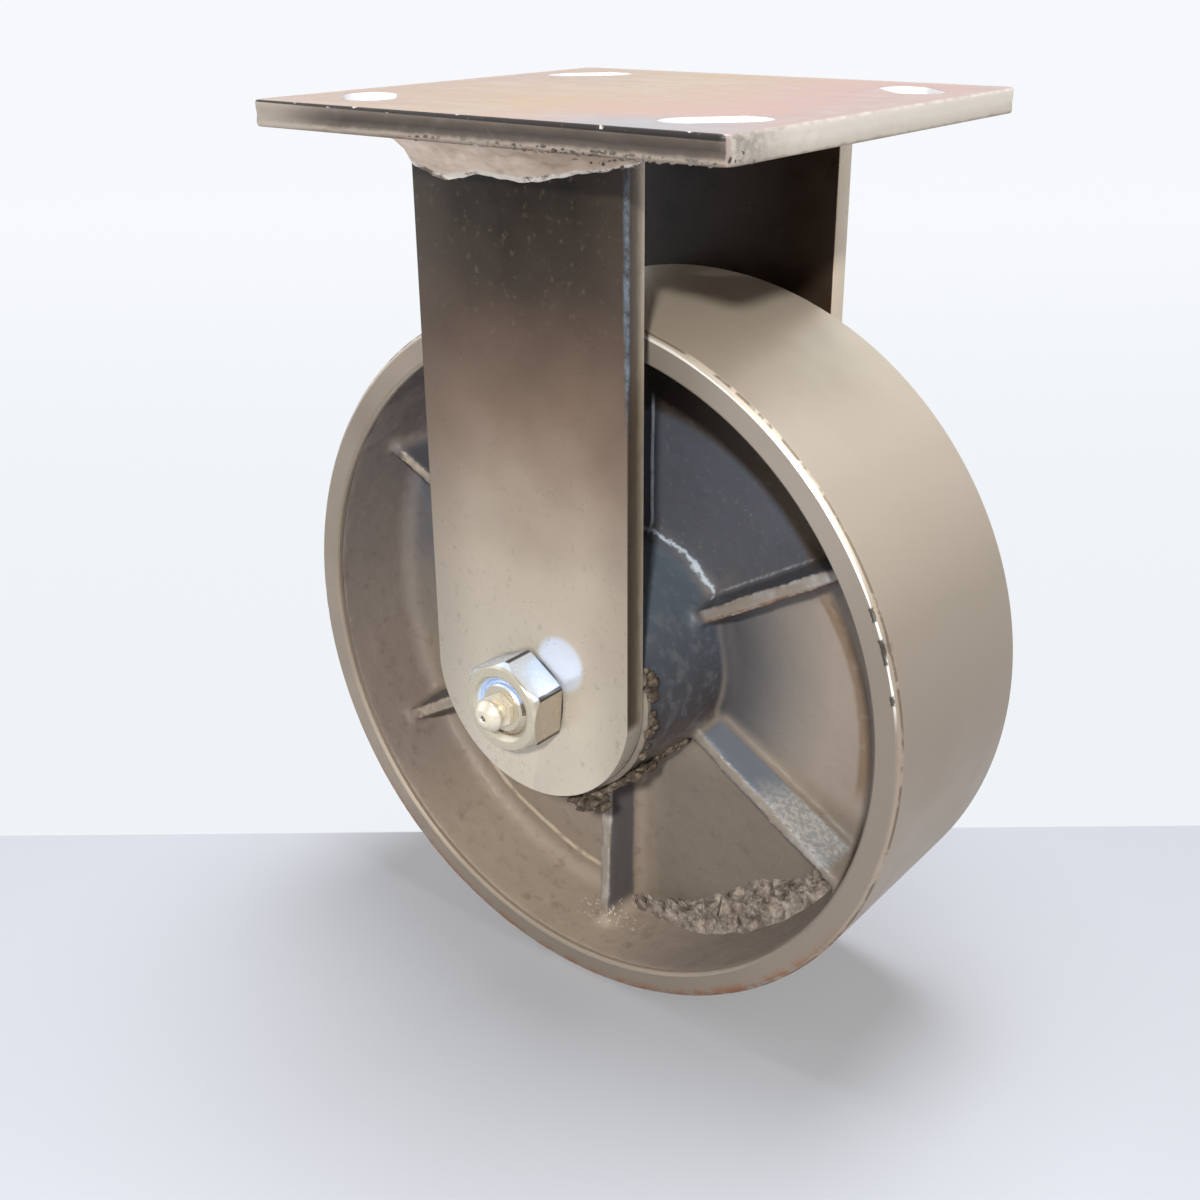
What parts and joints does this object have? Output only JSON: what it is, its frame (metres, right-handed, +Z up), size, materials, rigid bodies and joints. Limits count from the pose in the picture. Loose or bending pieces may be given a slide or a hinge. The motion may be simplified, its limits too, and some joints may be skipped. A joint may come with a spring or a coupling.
{
  "type": "rigid plate castor",
  "caption": "Heavy duty rigid plate castor with flat welded legs under a slotted plate and a ribbed cast iron wheel on a greased roller bearing.",
  "frame": {"origin": "middle of the top plate's mounting face", "axes": "+Z up out of the mounting face, X the rolling direction, Y along the axle with the nut on the -Y side"},
  "size_m": [0.2032, 0.1363, 0.2516],
  "materials": {
    "plate_steel": "mill finish, warm grey",
    "leg_steel": "mill finish, darkened by heat near the welds",
    "weld_metal": "as welded, uneven",
    "bright_steel": "bright plated",
    "nipple_steel": "plated, slightly worn",
    "bearing_steel": "ground and hardened",
    "cage_steel": "machined",
    "washer_steel": "hardened, oily",
    "wheel_iron": "cast iron, tread and rim faces machined"
  },
  "bodies": {
    "fork": {"top_plate": "plate_steel", "near_leg": "leg_steel", "far_leg": "leg_steel", "near_outer_weld": "weld_metal", "far_outer_weld": "weld_metal", "near_inner_weld": "weld_metal", "far_inner_weld": "weld_metal", "axle_bolt": "bright_steel", "axle_nut": "bright_steel", "grease_nipple": "nipple_steel", "nipple_spring": "nipple_steel", "bearing_sleeve": "bearing_steel", "near_thrust_washer": "washer_steel", "far_thrust_washer": "washer_steel"},
    "wheel": {"wheel": "wheel_iron", "outer_race": "bearing_steel"},
    "cage": {"roller_cage": "cage_steel"},
    "valve": {"nipple_ball": "nipple_steel"},
    "roller_01": {"roller_01": "bearing_steel"},
    "roller_02": {"roller_02": "bearing_steel"},
    "roller_03": {"roller_03": "bearing_steel"},
    "roller_04": {"roller_04": "bearing_steel"},
    "roller_05": {"roller_05": "bearing_steel"},
    "roller_06": {"roller_06": "bearing_steel"},
    "roller_07": {"roller_07": "bearing_steel"},
    "roller_08": {"roller_08": "bearing_steel"},
    "roller_09": {"roller_09": "bearing_steel"},
    "roller_10": {"roller_10": "bearing_steel"}
  },
  "joints": [
    {"name": "wheel_spin", "type": "hinge", "parent": "fork", "child": "wheel", "pos_m": [0, 0, -0.15], "axis": [0, 1, 0], "continuous": true},
    {"name": "cage_spin", "type": "hinge", "parent": "fork", "child": "cage", "pos_m": [0, 0, -0.15], "axis": [0, 1, 0], "continuous": true},
    {"name": "nipple_valve", "type": "slide", "parent": "fork", "child": "valve", "axis": [0, 1, 0], "range_m": [0, 0.0006], "deforming": ["nipple_spring"]},
    {"name": "roller_01_spin", "type": "hinge", "parent": "cage", "child": "roller_01", "pos_m": [0.01591, 0, -0.15], "axis": [0, 1, 0], "continuous": true},
    {"name": "roller_02_spin", "type": "hinge", "parent": "cage", "child": "roller_02", "pos_m": [0.01288, 0, -0.14064], "axis": [0, 1, 0], "continuous": true},
    {"name": "roller_03_spin", "type": "hinge", "parent": "cage", "child": "roller_03", "pos_m": [0.00492, 0, -0.13486], "axis": [0, 1, 0], "continuous": true},
    {"name": "roller_04_spin", "type": "hinge", "parent": "cage", "child": "roller_04", "pos_m": [-0.00492, 0, -0.13486], "axis": [0, 1, 0], "continuous": true},
    {"name": "roller_05_spin", "type": "hinge", "parent": "cage", "child": "roller_05", "pos_m": [-0.01288, 0, -0.14064], "axis": [0, 1, 0], "continuous": true},
    {"name": "roller_06_spin", "type": "hinge", "parent": "cage", "child": "roller_06", "pos_m": [-0.01591, 0, -0.15], "axis": [0, 1, 0], "continuous": true},
    {"name": "roller_07_spin", "type": "hinge", "parent": "cage", "child": "roller_07", "pos_m": [-0.01288, 0, -0.15935], "axis": [0, 1, 0], "continuous": true},
    {"name": "roller_08_spin", "type": "hinge", "parent": "cage", "child": "roller_08", "pos_m": [-0.00492, 0, -0.16514], "axis": [0, 1, 0], "continuous": true},
    {"name": "roller_09_spin", "type": "hinge", "parent": "cage", "child": "roller_09", "pos_m": [0.00492, 0, -0.16514], "axis": [0, 1, 0], "continuous": true},
    {"name": "roller_10_spin", "type": "hinge", "parent": "cage", "child": "roller_10", "pos_m": [0.01288, 0, -0.15935], "axis": [0, 1, 0], "continuous": true}
  ],
  "couplings": [
    {"joint": "cage_spin", "follows": "wheel_spin", "ratio": 0.601},
    {"joint": "roller_01_spin", "follows": "wheel_spin", "ratio": 2.404},
    {"joint": "roller_02_spin", "follows": "wheel_spin", "ratio": 2.404},
    {"joint": "roller_03_spin", "follows": "wheel_spin", "ratio": 2.404},
    {"joint": "roller_04_spin", "follows": "wheel_spin", "ratio": 2.404},
    {"joint": "roller_05_spin", "follows": "wheel_spin", "ratio": 2.404},
    {"joint": "roller_06_spin", "follows": "wheel_spin", "ratio": 2.404},
    {"joint": "roller_07_spin", "follows": "wheel_spin", "ratio": 2.404},
    {"joint": "roller_08_spin", "follows": "wheel_spin", "ratio": 2.404},
    {"joint": "roller_09_spin", "follows": "wheel_spin", "ratio": 2.404},
    {"joint": "roller_10_spin", "follows": "wheel_spin", "ratio": 2.404}
  ]
}
